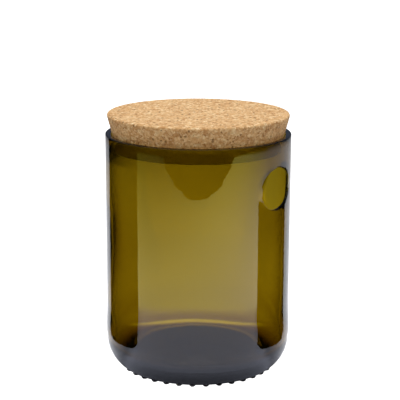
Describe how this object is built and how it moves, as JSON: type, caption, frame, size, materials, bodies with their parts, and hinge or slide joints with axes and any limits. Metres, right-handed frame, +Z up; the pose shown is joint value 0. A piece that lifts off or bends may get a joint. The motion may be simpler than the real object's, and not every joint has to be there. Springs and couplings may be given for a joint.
{
  "type": "storage jar",
  "caption": "Straight-sided olive-green glass jar with a domed floor, a knurled base ring and one oval flat on its wall, closed by a tapered cork lid that rests in its mouth.",
  "frame": {"origin": "on the jar's axis, in the plane of the knurl tips that it stands on", "axes": "+Z up along the jar's axis, from the base to the lid; -Y is the side that the picture shows"},
  "size_m": [0.0826, 0.0826, 0.1149],
  "materials": {
    "bottle_glass": "clear olive-green bottle glass, smooth moulded outside, ground and polished rim",
    "cork": "matte agglomerated cork, sanded, with small brown flecks"
  },
  "bodies": {
    "root": {"glass_jar": "bottle_glass", "cork_lid": "cork"}
  },
  "joints": []
}
